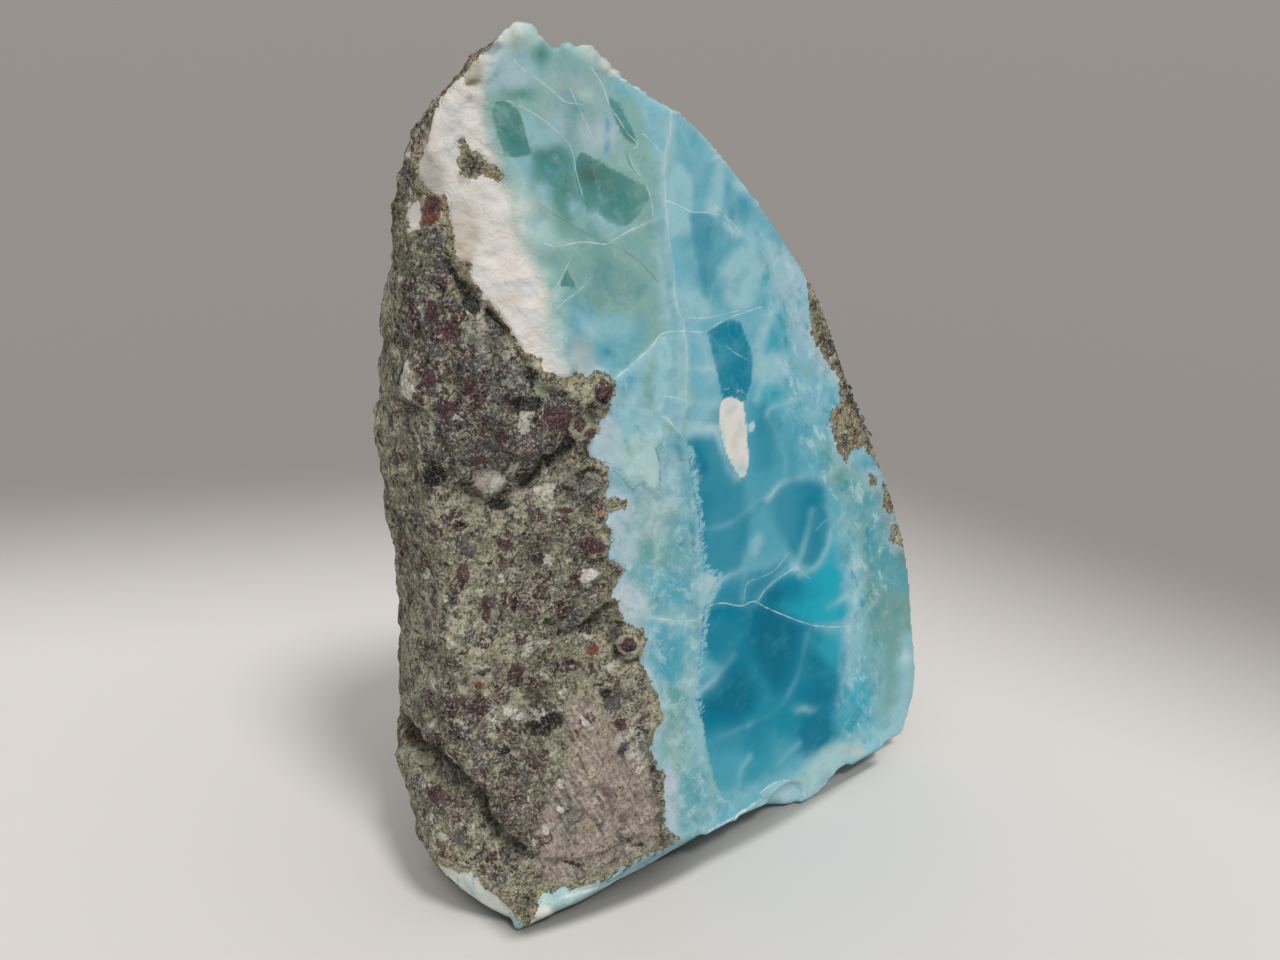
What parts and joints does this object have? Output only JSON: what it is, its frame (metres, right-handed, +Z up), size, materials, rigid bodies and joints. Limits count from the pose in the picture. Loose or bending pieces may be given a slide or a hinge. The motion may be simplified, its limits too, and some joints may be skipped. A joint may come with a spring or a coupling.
{
  "type": "rough larimar stone",
  "caption": "Freestanding half-polished larimar: a tall wedge of blue pectolite vein with rough basalt left on its side and back.",
  "frame": {"origin": "middle of the bounding box, on the plane that the stone stands on", "axes": "+Z up through the stone's height; -Y out of the polished side; +X to the right along the polished side"},
  "size_m": [0.0752, 0.0408, 0.109],
  "materials": {
    "larimar_and_basalt": "blue vein polished on one side, the basalt rough and matt"
  },
  "bodies": {
    "root": {"larimar_stone": "larimar_and_basalt"}
  },
  "joints": []
}
